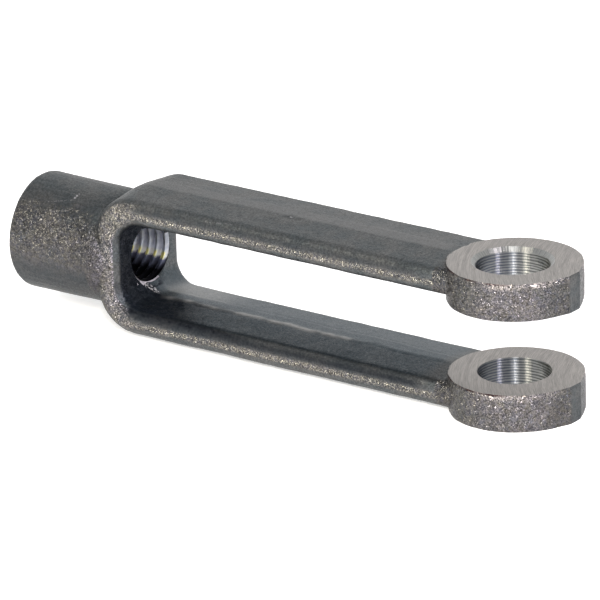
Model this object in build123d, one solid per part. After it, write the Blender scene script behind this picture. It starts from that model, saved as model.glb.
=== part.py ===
from build123d import *
from math import hypot, sqrt
import os

# Clevis rod end, drop forged in one piece, then drilled, tapped and faced.
# The origin is on the pin axis, halfway between the two eyes.
# +X runs from the threaded socket to the eyes, +Z is the pin axis, and Y runs across the arms.
# The two forging dies part on the plane Y = 0 and draw away along Y.
# All sizes are in millimetres and all angles in degrees.

# Pin joint
pin_bore_radius = 8.1
pin_lead_in = 0.9
eye_radius = 14.85
eye_thickness = 8.42
jaw_gap = 16.76

# The drilled bore lies a little short of the middle of the forged eyes
eye_shift = 0.5

# Yoke
crotch_to_pin = 97.3
base_wall = 7.9
base_width = 24.0
hip_length = 10.0
hip_radius = 20.0
arm_width = 22.2
arm_thickness = 7.5
arm_spread = 25.8
outer_corner_radius = 10.3
inner_corner_radius = 4.5
edge_radius = 2.1
neck_radius = 3.0
neck_sink = 0.15

# Forging dies
draft_angle = 6.0
flash_land = 3.8
flash_stand = 0.5

# Threaded socket
end_to_pin = 127.6
socket_radius = 13.05
socket_end_radius = 13.2
socket_edge_radius = 0.8
shoulder_radius = 9.0
shoulder_turn = 45.0
shoulder_lead = 1.6
seam_radius = 0.8
tap_bore_radius = 6.75
tap_lead_in = 1.5

# How far the blank stands past the widest place before the yoke's plan trims it
blank_margin = 0.5

# Sizes that follow from the ones above
half_land = flash_land / 2
half_arm = arm_width / 2
blank_half_width = max(socket_radius, base_width / 2) + blank_margin
eye_middle = (jaw_gap + eye_thickness) / 2
eye_face = jaw_gap / 2 + eye_thickness
arm_outside = (arm_spread + arm_thickness) / 2
arm_inside = (arm_spread - arm_thickness) / 2
crotch = -crotch_to_pin
yoke_back = crotch - base_wall
hip_start = yoke_back + hip_length
shoulder_start = yoke_back - shoulder_lead
socket_end = -end_to_pin

# How near a point must lie to a surface to count as on it, and where along an edge its points are taken
tolerance = 0.02
edge_samples = (0.1, 0.5, 0.9)


def slab(length, height, radius):
    """A plate on the die plane that ends at the pin, with its two corners at the socket end rounded."""
    plate = Rectangle(length, height, align=(Align.MAX, Align.CENTER))
    return fillet(plate.vertices().group_by(Axis.X)[0], radius)


def yoke_outline():
    """The U of the yoke on the die plane: both arms and the wall that joins them."""
    outside = slab(-yoke_back, 2 * arm_outside, outer_corner_radius)
    window = slab(-crotch, 2 * arm_inside, inner_corner_radius)
    return outside - window


def yoke_plan():
    """The yoke seen along the pin: hips at the socket end, straight arms, and necks at the eyes."""
    outline = Polyline(
        (yoke_back, 0),
        (yoke_back, base_width / 2),
        (hip_start, half_arm),
        (0, half_arm),
        (0, 0),
        close=True,
    )
    side = make_face(outline)
    hip = side.vertices().sort_by_distance((hip_start, half_arm))[0]
    side = fillet(hip, hip_radius)
    eye_seat = Pos(eye_shift, 0) * Circle(eye_radius - neck_sink)
    plan = side + mirror(side, Plane.XZ) + eye_seat
    necks = plan.vertices().filter_by_position(Axis.X, -eye_radius, -neck_radius)
    return fillet(necks, neck_radius)


def side_rims(blank):
    """The edges round the two side faces, which the dies leave rounded."""
    rims = []
    for edge in blank.edges():
        middle = edge @ 0.5
        upright = abs((edge % 0.5).Z) > 1 - tolerance
        on_side = half_arm - tolerance < abs(middle.Y) < blank_half_width - tolerance
        at_base = abs(middle.Z) < tolerance
        if on_side and (at_base or not upright):
            rims.append(edge)
    return rims


def yoke_half():
    """The blank on one side of the flash land, with walls that lean inwards by the draft."""
    land_edge = Plane.XZ.offset(half_land)
    half = extrude(land_edge * yoke_outline(), blank_half_width - half_land)
    walls = [wall for wall in half.faces() if abs(wall.normal_at().Y) < tolerance]
    return draft(walls, land_edge, draft_angle)


def yoke():
    """The forged U: a flat land where the flash was trimmed, and a drafted half on each side of it."""
    land = extrude(Plane.XZ * yoke_outline(), half_land, both=True)
    half = yoke_half()
    blank = land + half + mirror(half, Plane.XZ)
    blank = blank & extrude(yoke_plan(), arm_outside, both=True)
    return fillet(side_rims(blank), edge_radius)


def eye(level):
    """One forged eye, whose round side runs out to the flat that the trimmed flash leaves at the far end."""
    round_side = (Pos(eye_shift, 0) * Circle(eye_radius)).edge()
    far_end = eye_shift + eye_radius + flash_stand
    trimmed = Line((far_end, -half_land), (far_end, half_land))
    plan = make_hull([round_side, trimmed])
    return extrude(Pos(0, 0, level) * plan, eye_thickness / 2, both=True)


def socket():
    """The round socket, whose side falls away to the side of the yoke before the crotch."""
    side = Line((socket_end, socket_end_radius), (shoulder_start, socket_radius))
    shoulder = JernArc(side @ 1, (1, 0), shoulder_radius, -shoulder_turn)
    foot = shoulder @ 1
    inside = Polyline(foot, (foot.X, 0), (socket_end, 0), side @ 0)
    barrel = revolve(make_face(Plane.XY * (side + shoulder + inside)), Axis.X)
    return fillet(barrel.edges().group_by(Axis.X)[0], socket_edge_radius)


def seam_edges(body):
    """The edges where the falling shoulder of the socket meets the yoke."""
    seam = []
    for edge in body.edges():
        points = [edge @ sample for sample in edge_samples]
        runs = [point.X - shoulder_start for point in points]
        if min(runs) < tolerance or max(runs) > shoulder_radius:
            continue
        falls = [shoulder_radius - sqrt(shoulder_radius**2 - run**2) for run in runs]
        gaps = [hypot(point.Y, point.Z) - socket_radius + fall for point, fall in zip(points, falls)]
        if max(abs(gap) for gap in gaps) < tolerance:
            seam.append(edge)
    return seam


def pin_bore():
    """The bore through both eyes, with a lead-in at each outer face."""
    wide = pin_bore_radius + pin_lead_in
    lead_in = Cone(pin_bore_radius, wide, pin_lead_in, align=(Align.CENTER, Align.CENTER, Align.MAX))
    lead_in = Pos(0, 0, eye_face) * lead_in
    return Cylinder(pin_bore_radius, 2 * eye_face) + lead_in + mirror(lead_in, Plane.XY)


def tap_bore():
    """The tapped bore, drawn at its drilled size, from the socket's end into the open yoke."""
    run_out = crotch + arm_inside
    profile = Polyline(
        (socket_end, 0),
        (socket_end, tap_bore_radius + tap_lead_in),
        (socket_end + tap_lead_in, tap_bore_radius),
        (run_out, tap_bore_radius),
        (run_out, 0),
        close=True,
    )
    return revolve(make_face(Plane.XY * profile), Axis.X)


def yoke_forging():
    """The whole rod end as one solid."""
    body = yoke() + eye(eye_middle) + eye(-eye_middle) + socket()
    body = fillet(seam_edges(body), seam_radius)
    return body - pin_bore() - tap_bore()


os.makedirs("parts", exist_ok=True)
export_step(yoke_forging(), "parts/yoke_forging.step")
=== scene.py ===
import math

import bmesh
import bpy
import numpy as np
from mathutils import Matrix, Vector


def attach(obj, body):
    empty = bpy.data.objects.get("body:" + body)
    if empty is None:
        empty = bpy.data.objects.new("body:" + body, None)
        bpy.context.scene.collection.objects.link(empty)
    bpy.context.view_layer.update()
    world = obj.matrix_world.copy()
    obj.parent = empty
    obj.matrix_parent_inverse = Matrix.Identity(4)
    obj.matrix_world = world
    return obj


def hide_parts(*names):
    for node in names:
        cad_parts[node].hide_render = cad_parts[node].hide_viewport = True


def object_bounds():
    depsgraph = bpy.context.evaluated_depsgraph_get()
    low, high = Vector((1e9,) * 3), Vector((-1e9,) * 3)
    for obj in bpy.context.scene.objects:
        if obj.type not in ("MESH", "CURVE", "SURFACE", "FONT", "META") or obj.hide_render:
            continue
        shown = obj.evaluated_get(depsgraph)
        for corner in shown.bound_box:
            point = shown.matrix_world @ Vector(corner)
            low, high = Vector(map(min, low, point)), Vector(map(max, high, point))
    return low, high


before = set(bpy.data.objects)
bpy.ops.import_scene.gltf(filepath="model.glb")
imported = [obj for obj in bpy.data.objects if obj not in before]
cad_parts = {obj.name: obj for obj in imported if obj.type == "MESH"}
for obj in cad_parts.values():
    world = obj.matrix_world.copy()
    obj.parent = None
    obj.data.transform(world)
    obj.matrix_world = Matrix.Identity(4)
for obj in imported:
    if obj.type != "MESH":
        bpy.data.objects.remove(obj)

# The clevis rod end's looks: the forged skin, the milled eyes, the bored holes and the cut thread.
# Lengths in the tables below are in millimetres in the part's own frame, and Blender's are in metres.
MM = 0.001
cad_low, cad_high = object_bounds()

# Sizes of the solid that the looks follow
EYE_SHIFT = 0.5
EYE_RADIUS = 14.85
EYE_FACE = 16.8
JAW_FACE = 8.38
PIN_BORE = 8.1
PIN_LEAD_IN = 0.9
SIDE_FACE = 11.1
ARM_OUTSIDE = 16.65
ARM_INSIDE = 9.15
CROTCH = -97.3
YOKE_BACK = -105.2
SOCKET_END = -127.6
SOCKET_RADIUS = 13.1
TAP_BORE = 6.75
TAP_LEAD_IN = 1.5
LAND_EDGE = 1.9
BORE_FEED = 0.64

# The thread, which the tap's taper leaves shallow at the crotch, and a small bevel at its mouth
THREAD_MAJOR = 7.94
THREAD_PITCH = 2.117
THREAD_STEPS = 56
MOUTH_MAJOR = 7.45
MOUTH_FADE = 3.0
MOUTH_BEVEL = 0.45


def smooth_noise(points, size, seed):
    """Smooth seeded noise from -1 to 1, with features about as wide as size, in millimetres."""
    count = 64
    lattice = np.random.default_rng(seed).uniform(-1, 1, (count, count, count))
    place = points / size + 500.0 + seed
    cell = np.floor(place).astype(int)
    part = place - cell
    part = part * part * (3 - 2 * part)
    total = np.zeros(len(points))
    for corner in np.ndindex(2, 2, 2):
        at = (cell + corner) % count
        share = np.prod(np.where(corner, part, 1 - part), axis=1)
        total += share * lattice[at[:, 0], at[:, 1], at[:, 2]]
    return total


def ramp(values, low, high):
    """0 below low, 1 above high, and smooth between them."""
    share = np.clip((values - low) / (high - low), 0, 1)
    return share * share * (3 - 2 * share)


def coordinates(mesh):
    co = np.empty(len(mesh.vertices) * 3, np.float32)
    mesh.vertices.foreach_get("co", co)
    return co.reshape(-1, 3).astype(float) / MM


def normals(mesh):
    found = np.empty(len(mesh.vertices) * 3, np.float32)
    mesh.vertex_normals.foreach_get("vector", found)
    return found.reshape(-1, 3).astype(float)


def fine_copy(node):
    """A copy of a CAD node with an even, fine mesh that keeps its sharp edges."""
    mesh = node.data.copy()
    weld = bmesh.new()
    weld.from_mesh(mesh)
    bmesh.ops.remove_doubles(weld, verts=weld.verts, dist=2e-6)
    weld.to_mesh(mesh)
    weld.free()
    piece = bpy.data.objects.new("rod_end", mesh)
    bpy.context.scene.collection.objects.link(piece)
    remesh = piece.modifiers.new("even", "REMESH")
    remesh.mode = "SHARP"
    remesh.octree_depth = 9
    remesh.scale = 0.56
    remesh.sharpness = 1.0
    remesh.use_remove_disconnected = False
    depsgraph = bpy.context.evaluated_depsgraph_get()
    piece.data = bpy.data.meshes.new_from_object(piece.evaluated_get(depsgraph))
    piece.modifiers.clear()
    return piece


def bell(values, middle, width):
    return np.exp(-(((values - middle) / width) ** 2))


def flash_wander(co):
    """How far the trimmed flash's edge strays sideways along each arm."""
    along = np.stack([co[:, 0], 0 * co[:, 0] + 9.0 * np.sign(co[:, 1]), 7.0 * np.sign(co[:, 2])], axis=1)
    return 0.5 * smooth_noise(along, 4.5, 11) + 0.3 * smooth_noise(along, 1.7, 12)


def store(mesh, name, values):
    made = mesh.attributes.new(name, "FLOAT", "POINT")
    made.data.foreach_set("value", values.astype(np.float32))


def mark(piece):
    """Stores what each part of the skin is like: coarse, trimmed, worn bare at a rim with a painted highlight, tinted
    with painted reflections, and where it is painted darker, mostly as painted shade.
    """
    mesh = piece.data
    co = coordinates(mesh)
    out = normals(mesh)
    x, y, z = co.T
    level = np.abs(z)
    sideways = np.abs(out[:, 1])
    from_eye = np.hypot(x - EYE_SHIFT, y)

    # Blasted coarse on the sides, smoother on the faces that slid along the dies
    on_eye = x > -13.5
    on_arm = (x > CROTCH + 5) & ~on_eye
    on_socket = x < YOKE_BACK - 1
    coarse = ramp(sideways, 0.70, 0.90)
    above = z - np.sign(z) * (ARM_INSIDE + ARM_OUTSIDE) / 2
    on_flat = (1 - ramp(above, 0.0, 0.6)) * (1 - ramp(-above, 0.9, 1.5))
    into_arm = np.where(z < 0, ramp(x, CROTCH - 1, CROTCH + 4), ramp(x, CROTCH - 3, CROTCH + 8))
    along_arm = coarse + into_arm * ((sideways > 0.8) * on_flat - coarse)
    coarse = np.where(on_eye, coarse, along_arm)
    ragged = 0.12 * smooth_noise(co, 2.6, 36)
    coarse = np.where(on_socket, ramp(sideways + ragged, 0.50, 0.88) * ramp(z, -5.5, 0.0), coarse)
    coarse = np.where(on_eye, ramp(sideways - 0.22 * (y > 0), 0.08, 0.34), coarse)
    store(mesh, "coarse", coarse)

    # Grains that show bare metal, brightened as a painted highlight: on the flat sides of the arms, on the base of the
    # yoke, and less at the front of the eyes
    azimuth = np.degrees(np.arctan2(x - EYE_SHIFT, np.abs(y)))
    front_of_eye = ramp(azimuth, -20, 15) * (1 - ramp(azimuth, 50, 80))
    near_crotch = ramp(x, YOKE_BACK, CROTCH) * np.where(z > 0, 1.0, 0.9)
    bare = np.where(x < CROTCH + 5, coarse * near_crotch, 0.10 * front_of_eye * on_eye)
    store(mesh, "bare", np.where(on_arm, coarse, bare))
    # A painted reflection of the rose light: grains facing the crotch and at the front of the eyes are tinted lilac
    by_crotch = ramp(out[:, 0], -0.05, 0.35) * (x < CROTCH + 5) * (1 - ramp(z, 4, 9))
    store(mesh, "lilac", np.maximum(by_crotch, 0.6 * front_of_eye * on_eye))
    # Painted bluish glints speckle the face of the crotch
    store(mesh, "speckled", (out[:, 0] > 0.5) * (x < CROTCH + 3) * (1 - ramp(y, 1, 6)))

    # The land where the flash was trimmed, along the top and bottom of each arm
    arm = ramp(x, YOKE_BACK + 4, YOKE_BACK + 8) * (1 - ramp(x, -17, -14))
    across = np.abs(y) - LAND_EDGE - flash_wander(co)
    outer = out[:, 2] * np.sign(z) > 0.6
    start = np.where(y > 0, CROTCH - 1, CROTCH + 3)
    inner = (out[:, 2] * np.sign(z) < -0.4) * ramp(x - start, 0, 2)
    behind = np.where(y > 0, 1.0, 1 - ramp(across, -0.1, 0.2))
    store(mesh, "land", arm * (outer * (1 - ramp(across, -0.2, 0.3)) + 0.8 * inner * behind))
    scallops = ramp(smooth_noise(co * (1, 0, 0) + (0, 3, 0), 2.4, 31), -0.5, 0.4)
    polished = ramp(x, CROTCH + 1, CROTCH + 4) * (1 - ramp(x, CROTCH + 10, CROTCH + 24))
    polished = 0.5 * polished * ramp(y, 0.5, 2.5) * (out[:, 2] > 0.4) * (z < 0) * (level < ARM_INSIDE + 1.5)
    store(mesh, "trimmed", polished + (y < 0) * inner * arm * bell(across, -0.30, 0.55) * (0.25 + 0.75 * scallops) * (1 - ramp(x, -46, -34)))

    # Bare metal at the rims of the eyes, with a painted highlight that shows only towards the front, and a dark line
    # along the edge
    to_face = np.minimum(np.abs(level - EYE_FACE), np.abs(level - JAW_FACE))
    lower_rim = np.where(z > 0, np.abs(level - JAW_FACE), np.abs(level - EYE_FACE)) < 2.0
    rim_wear_and_sheen = (from_eye > EYE_RADIUS - 0.8) & (x > -10)
    patchy = ramp(smooth_noise(co, 1.8, 33), -0.7, 0.5)
    shown = ramp(azimuth, -10, 14) * (1 - ramp(azimuth, 58, 80))
    store(mesh, "rim_wear_and_sheen", rim_wear_and_sheen * ~lower_rim * ramp(1.5 - to_face, 0, 0.9) * (0.15 + 0.85 * patchy) * shown)
    store(mesh, "burr", rim_wear_and_sheen * ~lower_rim * (1 - ramp(azimuth, 10, 45)) * patchy)

    # Painted shade in the pocket of the yoke, most at the front and near the crotch, and on the front facet of the
    # lower arm's inner face, under the upper arm
    inside = (level < ARM_INSIDE + 2.2) & (np.abs(y) < SIDE_FACE - 0.9) & (x > CROTCH - 2.5)
    depth = 1 - ramp(x + 1.5 * smooth_noise(co, 5.0, 34), CROTCH + 10, CROTCH + 30)
    stray = smooth_noise(co, 3.0, 35)
    on_base = np.abs(out[:, 2]) < 0.7
    front = np.where(on_base, 1 - ramp(y + 1.2 * stray, 1.0, 5.5), 1 - ramp(y + 0.6 * stray, -2.2, 0.0))
    facet = 0.36 * (out[:, 2] > 0.7) * (z < 0) * ramp(-y, LAND_EDGE, LAND_EDGE + 0.8) * on_arm
    darkening = np.maximum(inside * depth * front, facet)

    # The roundings above the arms' flat sides are painted darker on the front: painted shade on the lower arm, deepest
    # near the base of the yoke, and the upper arm's somewhat darker
    kept = np.where(z < 0, ramp(x, CROTCH - 4, CROTCH + 2), into_arm) * (1 - ramp(x, -20, -14))
    near = 1 - ramp(x, CROTCH + 20, CROTCH + 38)
    below = (0.85 + 0.15 * near) * bell(sideways, 0.95 - 0.2 * near, 0.26 + 0.24 * near)
    rounding = np.where(z < 0, below, 0.48 * bell(sideways, 0.98, 0.14))
    over = np.maximum(out[:, 2] > 0.05, ramp(above - 0.25 * (z < 0), 0.1, 0.6) * on_arm)
    darkening = np.maximum(darkening, rounding * over * (y < 0) * kept)

    # Painted shade in the rounding in the lower corner of the yoke, on the underside of the socket and on the ends of
    # the eyes; the sides of the socket and the front of the yoke's base are painted darker as well
    corner = bell(x, CROTCH + 1.5, 4.0) * ramp(-z, 2.0, 6.0) * bell(sideways, 0.6, 0.3) * (y < -7.5)
    barrel = on_socket * ramp(sideways, 0.3, 0.6) * (0.20 + 0.28 * ramp(-out[:, 2], 0.0, 0.4))
    base_front = 0.40 * ramp(x, YOKE_BACK - 8, YOKE_BACK - 3) * (1 - ramp(x, CROTCH - 6, CROTCH - 3.5))
    barrel = np.maximum(barrel, base_front * ramp(sideways, 0.3, 0.6) * (y < 0) * (1 - ramp(z, 6, 11)))
    ends = on_eye * (0.30 * (1 - ramp(azimuth, -50, -15)) + 0.20 * ramp(azimuth, 50, 70))
    ends += 0.22 * on_eye * (x > 5) * ramp(y, 0.5, 2.5) * (1 - ramp(y, 9.0, 13.0))
    # A painted blue tint of the shade in the pocket
    store(mesh, "cool", inside * (sideways < 0.9) * ramp(x, CROTCH - 1, CROTCH) * (1 - ramp(x, -19, -15)))
    store(mesh, "darkened", np.maximum.reduce([darkening, 0.85 * corner * (out[:, 2] > 0), barrel, ends]))


def forge(piece):
    """Gives the drop-forged skin its unevenness, the trimmed flash line and the worn rims of the eyes."""
    mesh = piece.data
    co = coordinates(mesh)
    out = normals(mesh)
    x, y, z = co.T
    from_pin = np.hypot(x, y)
    from_eye = np.hypot(x - EYE_SHIFT, y)
    from_axis = np.hypot(y, z)
    level = np.abs(z)
    in_eye = ramp(x, -16, -13)
    milled = (from_eye < EYE_RADIUS + 0.7) & ((level > EYE_FACE - 0.03) | (level < JAW_FACE + 0.03)) & (x > -16)
    bored = (from_pin < PIN_BORE + PIN_LEAD_IN + 0.05) & (x > -12)
    tapped = (from_axis < TAP_BORE + TAP_LEAD_IN + 0.05) & (x < CROTCH + 0.05) & (np.abs(out[:, 0]) < 0.95)
    end_face = x < SOCKET_END + 0.02
    forged = ~(milled | bored | tapped | end_face)

    # Uneven skin
    skin = 0.05 * smooth_noise(co, 9.0, 1) + 0.035 * smooth_noise(co, 3.2, 2) + 0.02 * smooth_noise(co, 1.3, 3)

    # The trimmed flash: a stepped strip along the inner faces of the arms, and a faint one outside
    arm = 1 - ramp(x, -17, -14)
    inner = (out[:, 2] * np.sign(z) < -0.5) * ramp(x, CROTCH + 2, CROTCH + 6) * arm
    outer = (out[:, 2] * np.sign(z) > 0.5) * ramp(x, YOKE_BACK + 4, YOKE_BACK + 9) * arm
    across = np.abs(y) - LAND_EDGE - flash_wander(co)
    step = 1 - ramp(across, -0.3, 0.3)
    skin += inner * (0.16 * step - 0.07 * bell(across, 0.5, 0.4))
    skin += outer * 0.05 * step

    move = out * (skin * forged)[:, None]

    # The face of the crotch leans back on both sides of the land, less so behind
    crotch_face = forged & (out[:, 0] > 0.3) & (x < CROTCH + 1) & (x > CROTCH - 4.5) & (level < ARM_INSIDE + 1.5)
    lean = 0.05 * np.clip(np.abs(y) - LAND_EDGE, 0, None) * (1 - ramp(y, 5.0, 8.5))
    move[:, 0] -= lean * crotch_face * ramp(out[:, 0], 0.3, 0.8)

    # Rims of the milled eyes: the forged wall rolls over a little, unevenly
    wall = forged & (from_eye > EYE_RADIUS - 0.3) & (x > -13)
    to_face = np.minimum(np.abs(level - EYE_FACE), np.abs(level - JAW_FACE))
    roll = (0.16 + 0.10 * smooth_noise(co, 2.2, 21)) * np.clip(1 - to_face / 0.9, 0, 1) ** 2
    rim = (to_face < 0.03) & (from_eye > EYE_RADIUS - 0.6) & (x > -13)
    radial = np.stack([(x - EYE_SHIFT) / from_eye, y / from_eye, 0 * x], axis=1)
    move -= radial * (roll * (wall | rim))[:, None]
    move[:, 2] *= ~rim

    # Nicks and dents
    for spot_x, spot_y, side, wide, deep in ((-56.9, -2.7, 1, 1.3, 0.24), (-54.6, -2.8, 1, 0.9, 0.20)):
        near = bell(np.hypot((x - spot_x) / 1.8, y - spot_y), 0, wide / 2) * (z * side > ARM_INSIDE)
        move[:, 2] -= side * deep * near * (out[:, 2] * side > 0.5)

    co = (co + move) * MM
    mesh.vertices.foreach_set("co", co.astype(np.float32).ravel())
    mesh.update()


def thread_cutter():
    """A helical ridge that cuts the thread's grooves into the drilled bore."""
    inner_radius = TAP_BORE - 0.35
    flank = math.tan(math.radians(30))
    root_half = THREAD_PITCH / 16
    turns = (CROTCH - SOCKET_END) / THREAD_PITCH + 2
    count = int(turns * THREAD_STEPS)
    start = SOCKET_END - THREAD_PITCH
    cutter = bmesh.new()
    rings = []
    for k in range(count + 1):
        angle = 2 * math.pi * k / THREAD_STEPS
        middle = start + THREAD_PITCH * k / THREAD_STEPS
        major = MOUTH_MAJOR + (THREAD_MAJOR - MOUTH_MAJOR) * min(max((CROTCH - middle) / MOUTH_FADE, 0), 1)
        inner_half = root_half + (major - inner_radius) * flank
        profile = ((-inner_half, inner_radius), (-root_half, major), (root_half, major), (inner_half, inner_radius))
        ring = []
        for offset, radius in profile:
            place = Vector((middle + offset, radius * math.cos(angle), radius * math.sin(angle)))
            ring.append(cutter.verts.new(place * MM))
        rings.append(ring)
    for one, two in zip(rings, rings[1:]):
        for k in range(len(one)):
            nxt = (k + 1) % len(one)
            cutter.faces.new((one[k], one[nxt], two[nxt], two[k]))
    cutter.faces.new(rings[0][::-1])
    cutter.faces.new(rings[-1])
    bmesh.ops.recalc_face_normals(cutter, faces=cutter.faces)
    mesh = bpy.data.meshes.new("thread_cutter")
    cutter.to_mesh(mesh)
    cutter.free()
    made = bpy.data.objects.new("thread_cutter", mesh)
    bpy.context.scene.collection.objects.link(made)
    return made


def bevel_cutter():
    """A cone that takes the sharp edge off the thread's mouth."""
    cone = bmesh.new()
    wide = TAP_BORE + 2 * MOUTH_BEVEL
    size = {"radius1": TAP_BORE * MM, "radius2": wide * MM, "depth": 2 * MOUTH_BEVEL * MM}
    middle = Matrix.Translation(((CROTCH - 0.5 * MOUTH_BEVEL) * MM, 0, 0))
    turn = Matrix.Rotation(math.pi / 2, 4, "Y")
    bmesh.ops.create_cone(cone, cap_ends=True, segments=96, matrix=middle @ turn, **size)
    mesh = bpy.data.meshes.new("bevel_cutter")
    cone.to_mesh(mesh)
    cone.free()
    made = bpy.data.objects.new("bevel_cutter", mesh)
    bpy.context.scene.collection.objects.link(made)
    return made


def cut_away(piece, cutter):
    cut = piece.modifiers.new("cut", "BOOLEAN")
    cut.operation = "DIFFERENCE"
    cut.solver = "MANIFOLD"
    cut.object = cutter
    depsgraph = bpy.context.evaluated_depsgraph_get()
    piece.data = bpy.data.meshes.new_from_object(piece.evaluated_get(depsgraph))
    piece.modifiers.clear()
    bpy.data.objects.remove(cutter)


def share_out(piece, materials):
    """Gives each face the finish of the work that made it: forged, milled, bored or tapped."""
    mesh = piece.data
    mesh.materials.clear()
    for material in materials:
        mesh.materials.append(material)
    centre = np.empty(len(mesh.polygons) * 3, np.float32)
    normal = np.empty(len(mesh.polygons) * 3, np.float32)
    mesh.polygons.foreach_get("center", centre)
    mesh.polygons.foreach_get("normal", normal)
    x, y, z = centre.reshape(-1, 3).T / MM
    facing = normal.reshape(-1, 3)
    level = np.abs(z)
    index = np.zeros(len(mesh.polygons), np.int32)
    flat = np.abs(facing[:, 2]) > 0.97
    in_eye = np.hypot(x - EYE_SHIFT, y) < EYE_RADIUS + 0.7
    index[flat & in_eye & ((level > EYE_FACE - 0.04) | (level < JAW_FACE + 0.04))] = 1
    index[(x < SOCKET_END + 0.05) & (np.hypot(y, z) > TAP_BORE + TAP_LEAD_IN - 0.05)] = 1
    index[(np.hypot(x, y) < PIN_BORE + PIN_LEAD_IN) & (index == 0)] = 2
    index[(index == 2) & (np.abs(facing[:, 2]) > 0.35)] = 4
    base_face = (facing[:, 0] > 0.9) & (x > CROTCH - 1.6)
    index[(np.hypot(y, z) < THREAD_MAJOR + 0.15) & (x < CROTCH + 0.02) & (index == 0) & ~base_face] = 3
    from_axis = np.hypot(y, z)
    # The bevelled finish is given only on the side of the mouth below y = 3, as a painted highlight; the rest of the
    # bevel keeps the forged finish
    mouth = (index == 3) & (x > CROTCH - 1.0) & (from_axis > TAP_BORE + 0.08)
    inward = -(facing[:, 1] * y + facing[:, 2] * z) / from_axis
    index[mouth] = np.where((inward > 0.5) & (facing[:, 0] > 0.4) & (y < 3.0), 5, 0)[mouth]
    mesh.polygons.foreach_set("material_index", index)
    mesh.polygons.foreach_set("use_smooth", np.ones(len(mesh.polygons), bool))
    mesh.set_sharp_from_angle(angle=math.radians(38))
    mesh.update()


class Tree:
    """Short ways to build a material's nodes."""

    def __init__(self, name):
        self.material = bpy.data.materials.new(name)
        self.material.use_nodes = True
        self.tree = self.material.node_tree
        self.shader = self.tree.nodes["Principled BSDF"]
        place = self.node("ShaderNodeTexCoord").outputs["Object"]
        self.place = self.vector("SCALE", place, scale=1 / MM)

    def put(self, socket, value):
        if isinstance(value, bpy.types.NodeSocket):
            self.tree.links.new(value, socket)
        else:
            socket.default_value = value

    def node(self, kind, **settings):
        made = self.tree.nodes.new(kind)
        for name, value in settings.items():
            setattr(made, name, value)
        return made

    def math(self, operation, first, second=0.0, third=0.0, clamp=False):
        made = self.node("ShaderNodeMath", operation=operation, use_clamp=clamp)
        for socket, value in zip(made.inputs, (first, second, third)):
            self.put(socket, value)
        return made.outputs[0]

    def vector(self, operation, first, second=None, scale=None):
        made = self.node("ShaderNodeVectorMath", operation=operation)
        self.put(made.inputs[0], first)
        if second is not None:
            self.put(made.inputs[1], second)
        if scale is not None:
            self.put(made.inputs["Scale"], scale)
        return made.outputs[0] if operation not in ("LENGTH", "DOT_PRODUCT") else made.outputs["Value"]

    def noise(self, size, detail=3.0, rough=0.55, place=None, distortion=0.0):
        made = self.node("ShaderNodeTexNoise")
        self.put(made.inputs["Vector"], place or self.place)
        made.inputs["Scale"].default_value = 1 / size
        made.inputs["Detail"].default_value = detail
        made.inputs["Roughness"].default_value = rough
        made.inputs["Distortion"].default_value = distortion
        return made.outputs["Fac"]

    def cells(self, size, place=None):
        made = self.node("ShaderNodeTexVoronoi")
        self.put(made.inputs["Vector"], place or self.place)
        made.inputs["Scale"].default_value = 1 / size
        return made

    def spread(self, value, low, high, to_low=0.0, to_high=1.0):
        made = self.node("ShaderNodeMapRange", interpolation_type="SMOOTHSTEP")
        self.put(made.inputs["Value"], value)
        for name, number in (("From Min", low), ("From Max", high), ("To Min", to_low), ("To Max", to_high)):
            made.inputs[name].default_value = number
        return made.outputs["Result"]

    def mix(self, share, one, two, blend="MIX"):
        made = self.node("ShaderNodeMix", data_type="RGBA", blend_type=blend)
        self.put(made.inputs["Factor"], share)
        self.put(made.inputs["A"], (*one, 1.0) if isinstance(one, tuple) else one)
        self.put(made.inputs["B"], (*two, 1.0) if isinstance(two, tuple) else two)
        return made.outputs["Result"]

    def bump(self, height, depth, strength=1.0, normal=None):
        made = self.node("ShaderNodeBump")
        made.inputs["Strength"].default_value = strength
        made.inputs["Distance"].default_value = depth * MM
        self.put(made.inputs["Height"], height)
        if normal is not None:
            self.put(made.inputs["Normal"], normal)
        return made.outputs["Normal"]

    def attribute(self, name):
        made = self.node("ShaderNodeAttribute", attribute_name=name)
        return made.outputs["Fac"]

    def turned(self, amount):
        """Reflections drawn out along the pin, as the fine rings of turned metal do."""
        self.shader.inputs["Anisotropic"].default_value = amount
        self.shader.inputs["Anisotropic Rotation"].default_value = 0.25
        split = self.node("ShaderNodeSeparateXYZ")
        self.put(split.inputs[0], self.place)
        around = self.node("ShaderNodeCombineXYZ")
        self.put(around.inputs[0], self.math("MULTIPLY", split.outputs[1], -1.0))
        self.put(around.inputs[1], split.outputs[0])
        self.put(self.shader.inputs["Tangent"], around.outputs[0])

    def level_from(self, level):
        """How far above or below this height a point lies."""
        split = self.node("ShaderNodeSeparateXYZ")
        self.put(split.inputs[0], self.place)
        return self.math("ABSOLUTE", self.math("SUBTRACT", split.outputs[2], level))

    def line(self, start, end, wide):
        """1 on a straight scratch from start to end, and 0 beside it."""
        way = Vector(end) - Vector(start)
        reach = self.vector("SUBTRACT", self.place, start)
        along = self.math("DIVIDE", self.vector("DOT_PRODUCT", reach, way), way.length_squared, clamp=True)
        aside = self.vector("SUBTRACT", reach, self.vector("SCALE", tuple(way), scale=along))
        return self.spread(self.vector("LENGTH", aside), 0.4 * wide, wide, 1.0, 0.0)

    def finish(self, colour, rough, normal, metallic):
        self.put(self.shader.inputs["Base Color"], colour)
        self.put(self.shader.inputs["Roughness"], rough)
        self.put(self.shader.inputs["Normal"], normal)
        self.put(self.shader.inputs["Metallic"], metallic)
        return self.material


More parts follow.
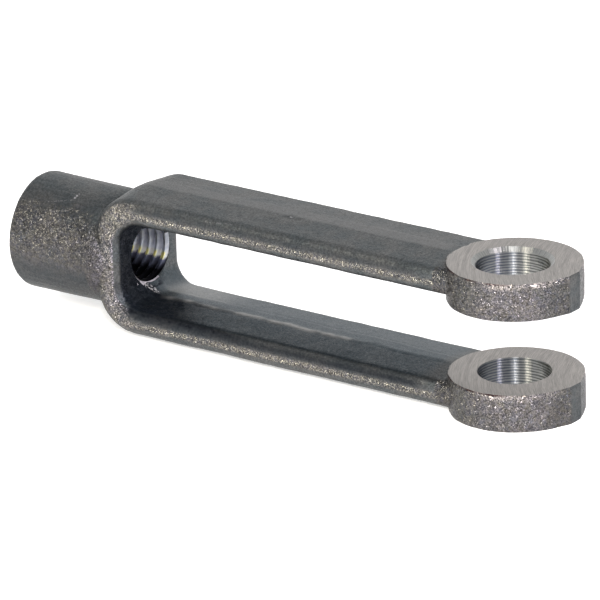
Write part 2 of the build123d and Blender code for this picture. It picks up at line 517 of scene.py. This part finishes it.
# Scratches as start, end, half width and strength
SCRATCHES = (
    ((-119.8, -8.3, 10.1), (-113.4, -6.6, 11.3), 0.20, 0.30),
    ((-113.6, -6.1, 11.6), (-113.4, -5.0, 12.1), 0.36, 0.75),
    ((-96.8, -2.9, -6.8), (-96.5, -2.1, -7.2), 0.75, 0.90),
    ((-96.4, -2.0, -7.4), (-95.2, -1.2, -8.5), 0.90, 0.90),
    ((-73.9, -10.8, 14.85), (-69.5, -10.6, 15.15), 0.12, 0.16),
    ((-71.5, -10.6, 15.1), (-66.6, -10.3, 15.45), 0.12, 0.18),
    ((-68.4, -7.6, 16.0), (-67.5, -10.3, 15.4), 0.12, 0.14),
    ((-57.0, -2.2, 16.7), (-56.4, -2.2, 16.7), 0.34, 0.60),
)


def tilted(t, cells, amount, normal):
    """Tips the surface a different way in each cell, as the small facets of a blasted skin do."""
    turn = t.vector("SUBTRACT", cells.outputs["Color"], (0.5, 0.5, 0.5))
    turn = t.vector("SCALE", turn, scale=amount)
    return t.vector("NORMALIZE", t.vector("ADD", normal, turn))


def forged_steel():
    t = Tree("forged_steel")
    coarse = t.attribute("coarse")
    grains = t.cells(0.20)
    clumps = t.cells(0.55)
    pits = t.noise(0.36, detail=3.0, rough=0.65)
    patches = t.noise(6.0, detail=5.0, rough=0.6)
    cloud = t.noise(1.6, detail=3.0)
    tint = t.noise(1.1, detail=2.0, distortion=0.5)
    streaks = t.noise(0.8, detail=3.0, place=t.vector("MULTIPLY", t.place, (0.12, 1.0, 1.0)))
    colour = t.mix(t.spread(patches, 0.35, 0.65), (0.066, 0.074, 0.078), (0.090, 0.092, 0.092))
    colour = t.mix(t.spread(streaks, 0.45, 0.75, 0.0, 0.35), colour, (0.120, 0.122, 0.122))
    split = t.node("ShaderNodeSeparateColor")
    t.put(split.inputs[0], grains.outputs["Color"])
    grit = t.noise(0.5, detail=3.0, rough=0.7)
    specks = t.noise(0.45, detail=2.0, rough=0.6)
    shade = t.mix(t.spread(grit, 0.35, 0.65), (0.80, 0.80, 0.80), (1.38, 1.38, 1.37))
    colour = t.mix(1.0, colour, shade, "MULTIPLY")
    # Painted reflection: lilac tint on grains facing the crotch and at the front of the eyes
    warm = t.mix(t.attribute("lilac"), (0.170, 0.160, 0.142), (0.175, 0.160, 0.180))
    bright = t.mix(t.attribute("lilac"), (0.36, 0.34, 0.29), (0.64, 0.58, 0.66))
    # Bare grains brightened, partly as a painted highlight
    warm = t.mix(t.attribute("bare"), warm, bright)
    spots = t.math("MULTIPLY", t.spread(split.outputs[0], 0.25, 0.90), t.spread(pits, 0.40, 0.58))
    uneven = t.mix(t.spread(cloud, 0.35, 0.65), (0.80, 0.78, 0.77), (1.22, 1.21, 1.20))
    uneven = t.mix(1.0, uneven, t.mix(t.spread(tint, 0.35, 0.65), (1.09, 1.00, 0.90), (1.00, 0.95, 1.08)), "MULTIPLY")
    colour = t.mix(coarse, colour, t.mix(1.0, colour, uneven, "MULTIPLY"))
    colour = t.mix(t.math("MULTIPLY", spots, coarse), colour, warm)
    holes = t.math("MULTIPLY", t.spread(pits, 0.36, 0.48, 1.0, 0.0), coarse)
    colour = t.mix(t.math("MULTIPLY", holes, 0.6), colour, (0.025, 0.025, 0.027))
    colour = t.mix(t.math("MULTIPLY", t.attribute("land"), 0.55), colour, (0.160, 0.160, 0.160))
    # Painted darker towards near black, mostly as painted shade in the pocket, the corner and the undersides
    darkening = t.math("MULTIPLY", t.attribute("darkened"), t.spread(cloud, 0.30, 0.6, 1.0, 0.88))
    colour = t.mix(t.math("MULTIPLY", darkening, 0.97), colour, (0.006, 0.008, 0.013))
    # Painted blue tint of the shade in the pocket
    colour = t.mix(t.attribute("cool"), colour, t.mix(1.0, colour, (0.82, 0.93, 1.02), "MULTIPLY"))
    # Painted bluish glints on the face of the crotch
    glimmer = t.math("MULTIPLY", t.math("MULTIPLY", spots, 0.25), t.attribute("speckled"))
    colour = t.mix(glimmer, colour, (0.130, 0.140, 0.175))
    colour = t.mix(t.math("MULTIPLY", t.attribute("trimmed"), 0.85), colour, (0.40, 0.39, 0.38))
    # Bare metal at the eyes' rims, brightened as a painted highlight towards the front
    colour = t.mix(t.math("MULTIPLY", t.attribute("rim_wear_and_sheen"), t.spread(pits, 0.42, 0.58)), colour, (0.52, 0.47, 0.45))
    below_rim = t.math("MINIMUM", t.level_from(EYE_FACE), t.level_from(-JAW_FACE))
    line = t.math("MULTIPLY", t.attribute("burr"), t.spread(below_rim, 0.25, 0.5, 1.0, 0.0))
    colour = t.mix(line, colour, (0.030, 0.014, 0.014))
    for start, end, wide, share in SCRATCHES:
        broken = t.math("MULTIPLY", t.spread(specks, 0.49, 0.57), share)
        colour = t.mix(t.math("MULTIPLY", t.line(start, end, wide), broken), colour, (0.60, 0.58, 0.60))
    rough = t.math("SUBTRACT", t.spread(pits, 0.3, 0.7, 0.46, 0.36), t.math("MULTIPLY", coarse, 0.10))
    rough = t.math("ADD", rough, t.spread(darkening, 0.82, 0.98, 0.0, 0.50))
    skin = t.bump(pits, 0.06)
    scale = t.spread(darkening, 0.82, 0.98, 0.16, 0.46)
    skin = tilted(t, grains, t.math("MULTIPLY_ADD", coarse, 0.70, scale), skin)
    skin = tilted(t, clumps, t.math("MULTIPLY_ADD", coarse, 0.45, 0.10), skin)
    t.shader.inputs["Specular Tint"].default_value = (0.75, 0.75, 0.75, 1)
    return t.finish(colour, rough, skin, 0.9)


def milled_steel():
    t = Tree("milled_steel")
    # A face mill's marks are arcs about a far centre
    centre = t.vector("SUBTRACT", t.place, (52.0, 28.0, 0.0))
    flat = t.vector("MULTIPLY", centre, (1.0, 1.0, 0.0))
    from_centre = t.vector("LENGTH", flat)
    split = t.node("ShaderNodeSeparateXYZ")
    t.put(split.inputs[0], flat)
    turn = t.math("ARCTAN2", split.outputs[1], split.outputs[0])
    arc = t.node("ShaderNodeCombineXYZ")
    t.put(arc.inputs[0], from_centre)
    t.put(arc.inputs[1], t.math("MULTIPLY", turn, 2.2))
    marks = t.noise(0.17, detail=3.0, rough=0.6, place=arc.outputs[0])
    broad = t.noise(0.9, detail=2.0, place=arc.outputs[0])
    skin = t.noise(4.0, detail=4.0)
    grit = t.noise(0.35, detail=3.0)
    height = t.math("ADD", marks, t.math("MULTIPLY", broad, 0.4))
    colour = t.mix(t.spread(height, 0.50, 0.90), (0.145, 0.136, 0.128), (0.330, 0.308, 0.290))
    colour = t.mix(t.spread(skin, 0.35, 0.7, 0.0, 0.4), colour, (0.235, 0.220, 0.210))
    colour = t.mix(t.spread(grit, 0.58, 0.72, 0.0, 0.6), colour, (0.120, 0.112, 0.108))
    rough = t.spread(marks, 0.3, 0.7, 0.36, 0.46)
    return t.finish(colour, rough, t.bump(height, 0.035), 0.9)


def countersunk_steel():
    t = Tree("countersunk_steel")
    # Chatter marks run across the lead-in, so they follow the angle about the pin
    split = t.node("ShaderNodeSeparateXYZ")
    t.put(split.inputs[0], t.place)
    angle = t.math("ARCTAN2", split.outputs[1], split.outputs[0])
    turn = t.node("ShaderNodeCombineXYZ")
    t.put(turn.inputs[0], t.math("MULTIPLY", angle, PIN_BORE))
    chatter = t.noise(0.34, detail=2.0, rough=0.6, place=turn.outputs[0])
    colour = t.mix(t.spread(chatter, 0.30, 0.70), (0.24, 0.245, 0.24), (0.46, 0.46, 0.45))
    t.turned(1.0)
    return t.finish(colour, t.spread(chatter, 0.3, 0.7, 0.34, 0.42), t.bump(chatter, 0.08), 1.0)


def bored_steel():
    t = Tree("bored_steel")
    # The boring tool's feed leaves even rings, broken a little by tearing
    split = t.node("ShaderNodeSeparateXYZ")
    t.put(split.inputs[0], t.place)
    tearing = t.noise(1.4, detail=3.0, place=t.vector("MULTIPLY", t.place, (0.25, 0.25, 1.0)))
    phase = t.math("MULTIPLY_ADD", split.outputs[2], 2 * math.pi / BORE_FEED, t.math("MULTIPLY", tearing, 7.0))
    rings = t.math("MULTIPLY_ADD", t.math("SINE", phase), 0.5, 0.5)
    fine = t.noise(0.16, detail=2.0, place=t.vector("MULTIPLY", t.place, (0.03, 0.03, 1.0)))
    height = t.math("ADD", rings, t.math("MULTIPLY", fine, 0.6))
    # Painted reflection tints: blue-grey on the bore's -X side and olive on its +X side, and the rings painted brighter
    # towards +X as a painted highlight
    side = t.node("ShaderNodeSeparateXYZ")
    t.put(side.inputs[0], t.vector("NORMALIZE", t.vector("MULTIPLY", t.place, (1.0, 1.0, 0.0))))
    toned = t.mix(t.spread(side.outputs[0], -0.8, 0.9), (0.070, 0.083, 0.115), (0.16, 0.16, 0.115))
    strong = t.math("MULTIPLY", t.spread(height, 0.3, 1.3, 0.15, 0.95), t.spread(side.outputs[0], -1.0, 0.6, 0.25, 0.85))
    colour = t.mix(strong, toned, (0.72, 0.72, 0.68))
    t.turned(1.0)
    return t.finish(colour, t.spread(tearing, 0.3, 0.7, 0.34, 0.38), t.bump(height, 0.034), 1.0)


def bevelled_steel():
    t = Tree("bevelled_steel")
    smear = t.noise(0.8, detail=3.0)
    colour = t.mix(t.spread(smear, 0.35, 0.7), (0.50, 0.46, 0.51), (0.76, 0.71, 0.76))
    return t.finish(colour, t.spread(smear, 0.3, 0.7, 0.34, 0.44), t.bump(smear, 0.01), 1.0)


def tapped_steel():
    t = Tree("tapped_steel")
    smear = t.noise(0.8, detail=3.0)
    colour = t.mix(t.spread(smear, 0.35, 0.7), (0.76, 0.80, 0.90), (0.92, 0.93, 1.0))
    # Painted shade: the thread is painted black in the lower part, through a blue band, and darker towards -Y; a bright
    # yellow and white band above the black is a painted highlight
    split = t.node("ShaderNodeSeparateXYZ")
    t.put(split.inputs[0], t.place)
    level = t.math("MULTIPLY_ADD", smear, 1.2, t.math("ADD", split.outputs[2], -0.6))
    highlight_band = t.math("MULTIPLY", t.spread(level, -4.1, -3.4), t.spread(level, -2.6, -1.9, 1.0, 0.0))
    from_axis = t.vector("LENGTH", t.vector("MULTIPLY", t.place, (0.0, 1.0, 1.0)))
    gleam = t.mix(t.spread(from_axis, 6.8, 7.1), (1.0, 0.93, 0.36), (1.0, 1.0, 1.0))
    colour = t.mix(highlight_band, colour, gleam)
    colour = t.mix(t.spread(level, -4.0, -3.2, 1.0, 0.0), colour, (0.16, 0.17, 0.24))
    colour = t.mix(t.spread(level, -6.0, -3.8, 1.0, 0.0), colour, (0.006, 0.006, 0.008))
    colour = t.mix(t.spread(split.outputs[1], -6.0, -3.6, 1.0, 0.0), colour, (0.05, 0.055, 0.07))
    return t.finish(colour, t.spread(smear, 0.3, 0.7, 0.40, 0.46), t.bump(smear, 0.006), 1.0)


def soft_light(name, towards, distance, wide, high, power, colour):
    """A softbox in a given direction from the middle of the object, facing it."""
    light = bpy.data.lights.new(name, "AREA")
    light.shape = "RECTANGLE"
    light.size = wide
    light.size_y = high
    light.energy = power
    light.color = colour
    made = bpy.data.objects.new(name, light)
    bpy.context.scene.collection.objects.link(made)
    way = Vector(towards).normalized()
    made.location = MIDDLE + way * distance
    made.rotation_euler = way.to_track_quat("Z", "Y").to_euler()
    return made


def direction(azimuth, elevation):
    """The way to a place at this azimuth, where 0 is towards -Y and 90 towards +X, and this elevation."""
    a, e = math.radians(azimuth), math.radians(elevation)
    return Vector((math.sin(a) * math.cos(e), -math.cos(a) * math.cos(e), math.sin(e)))


def studio():
    """A pale floor and a studio that is white near the horizon and darker above."""
    size = 6.0
    mesh = bpy.data.meshes.new("floor")
    low = -EYE_FACE * MM - 0.00005
    corners = [(-size, -size, low), (size, -size, low), (size, size, low), (-size, size, low)]
    mesh.from_pydata(corners, [], [(0, 1, 2, 3)])
    floor = bpy.data.objects.new("floor", mesh)
    bpy.context.scene.collection.objects.link(floor)
    paint = bpy.data.materials.new("floor")
    paint.use_nodes = True
    shader = paint.node_tree.nodes["Principled BSDF"]
    shader.inputs["Base Color"].default_value = (0.9, 0.9, 0.9, 1)
    shader.inputs["Roughness"].default_value = 0.9
    shader.inputs["Specular IOR Level"].default_value = 0.0
    shader.inputs["Emission Color"].default_value = (1, 1, 1, 1)
    shader.inputs["Emission Strength"].default_value = 0.45
    mesh.materials.append(paint)

    world = bpy.data.worlds.new("studio")
    bpy.context.scene.world = world
    world.use_nodes = True
    tree = world.node_tree
    back = tree.nodes["Background"]
    place = tree.nodes.new("ShaderNodeTexCoord")
    split = tree.nodes.new("ShaderNodeSeparateXYZ")
    tree.links.new(place.outputs["Generated"], split.inputs[0])
    shade = tree.nodes.new("ShaderNodeValToRGB")
    tree.links.new(split.outputs[2], shade.inputs[0])
    shade.color_ramp.elements[0].position = 0.55
    shade.color_ramp.elements[0].color = (0.95, 0.95, 0.95, 1)
    shade.color_ramp.elements[1].position = 0.95
    shade.color_ramp.elements[1].color = (0.55, 0.56, 0.58, 1)
    tree.links.new(shade.outputs[0], back.inputs[0])
    back.inputs[1].default_value = 1.0


# The camera that the photo was matched with
CAMERA_AZIMUTH = 36.424
CAMERA_ELEVATION = 20.39
CAMERA_ROLL = -1.583
CAMERA_DISTANCE = 1456.7
CAMERA_SIDE = 45.87
CAMERA_RISE = -7.31
CAMERA_LENS = 407.9


def camera():
    made = bpy.data.objects.new("camera", bpy.data.cameras.new("camera"))
    bpy.context.scene.collection.objects.link(made)
    made.data.sensor_width = 36.0
    made.data.lens = CAMERA_LENS
    made.data.clip_start = 0.05
    made.data.clip_end = 50.0
    back = direction(CAMERA_AZIMUTH, CAMERA_ELEVATION)
    azimuth = math.radians(CAMERA_AZIMUTH)
    right = Vector((math.cos(azimuth), math.sin(azimuth), 0))
    up = back.cross(right)
    roll = math.radians(CAMERA_ROLL)
    right, up = right * math.cos(roll) + up * math.sin(roll), up * math.cos(roll) - right * math.sin(roll)
    place = (back * CAMERA_DISTANCE - right * CAMERA_SIDE - up * CAMERA_RISE) * MM
    turn = Matrix((right, up, back)).transposed().to_4x4()
    made.matrix_world = Matrix.Translation(place) @ turn
    bpy.context.scene.camera = made


MIDDLE = (cad_low + cad_high) / 2

piece = fine_copy(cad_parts["yoke_forging"])
forge(piece)
cut_away(piece, thread_cutter())
cut_away(piece, bevel_cutter())
mark(piece)
share_out(piece, [forged_steel(), milled_steel(), bored_steel(), tapped_steel(), countersunk_steel(), bevelled_steel()])
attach(piece, "root")
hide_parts("yoke_forging")

studio()
soft_light("warm", direction(-4, 30), 1.2, 0.05, 0.3, 6.5, (1.0, 0.93, 0.78))
soft_light("white", direction(36, 31), 1.3, 0.07, 0.3, 10.5, (1.0, 0.97, 0.95))
soft_light("rose", direction(85, 30), 1.2, 0.05, 0.3, 7.0, (1.0, 0.92, 0.97))
soft_light("back", direction(216, 25), 2.0, 3.0, 1.2, 4.5, (1.0, 1.0, 1.0))
camera()

bpy.context.scene.view_settings.view_transform = "Standard"
